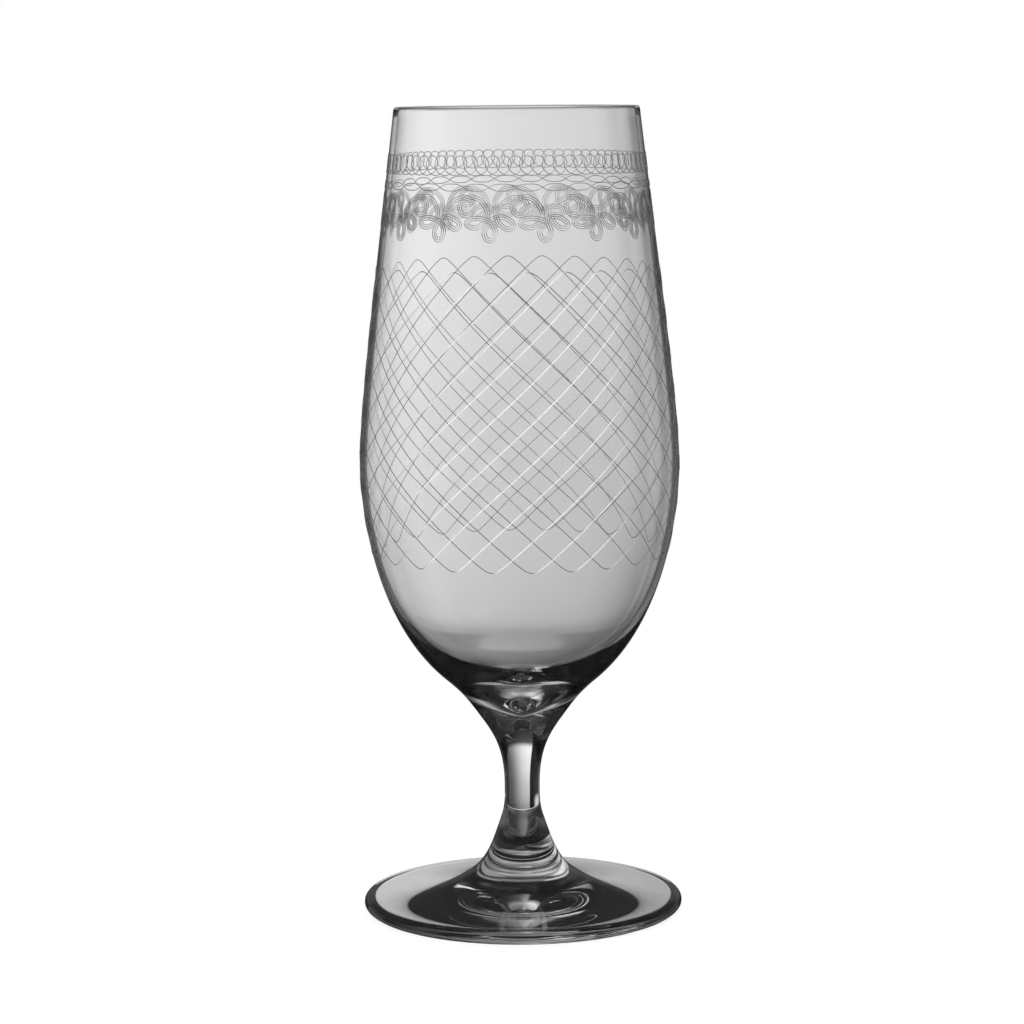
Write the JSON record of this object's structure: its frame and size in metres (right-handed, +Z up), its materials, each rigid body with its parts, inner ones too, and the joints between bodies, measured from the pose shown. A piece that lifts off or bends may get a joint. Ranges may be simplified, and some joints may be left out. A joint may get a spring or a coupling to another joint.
{
  "type": "beer glass",
  "caption": "Footed glass with a tall tapering bowl, a heavy solid base, a short drawn stem and a low conical foot, for holding and drinking beer.",
  "frame": {"origin": "centre of the flat ring that the glass stands on, on the table's surface", "axes": "+Z up along the glass's axis, from the foot to the rim; the glass is round, so +X and +Y are free, and the picture looks along +Y"},
  "size_m": [0.0778, 0.0778, 0.195],
  "materials": {
    "bowl_glass": "clear, fire-polished rim, fine etched line bands on the outside",
    "stem_glass": "clear, polished",
    "foot_glass": "clear, polished"
  },
  "bodies": {
    "root": {"bowl": "bowl_glass", "stem": "stem_glass", "foot": "foot_glass"}
  },
  "joints": []
}
